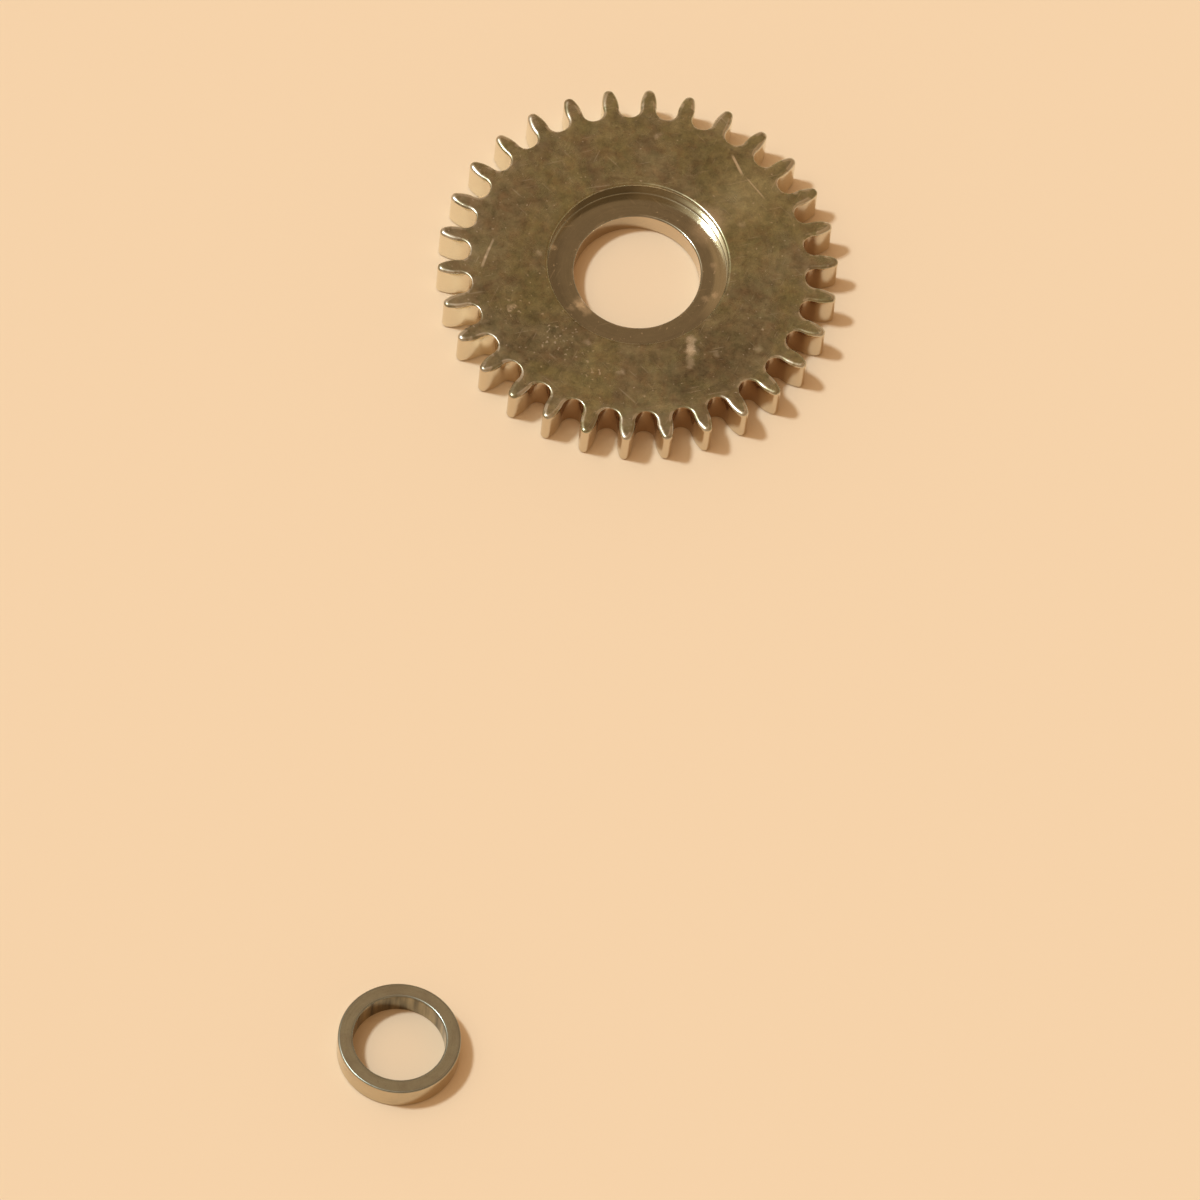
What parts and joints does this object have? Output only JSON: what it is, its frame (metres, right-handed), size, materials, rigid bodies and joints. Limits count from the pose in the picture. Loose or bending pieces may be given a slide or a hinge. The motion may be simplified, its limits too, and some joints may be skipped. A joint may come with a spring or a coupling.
{
  "type": "watch crown wheel",
  "caption": "Flat steel wristwatch crown wheel with round-ended teeth, a central bore and a shallow screw recess, with the loose ring-shaped core that it turns on beside it.",
  "frame": {"origin": "on the axis of the wheel's bore, at the wheel's underside, which is the plane that both pieces lie on", "axes": "+Z along the bore axis, out of the recess; +X to the right and +Y away from the viewer in the picture, with the core lying towards -Y"},
  "size_m": [0.0061, 0.0172, 0.0006],
  "materials": {
    "wheel_steel": "polished",
    "core_steel": "polished"
  },
  "bodies": {
    "core": {"crown_wheel_core": "core_steel"},
    "wheel": {"crown_wheel": "wheel_steel"}
  },
  "joints": [
    {"name": "wheel_spin", "type": "hinge", "parent": "core", "child": "wheel", "pos_m": [0, 0, 0], "axis": [0, 0, 1], "continuous": true}
  ]
}
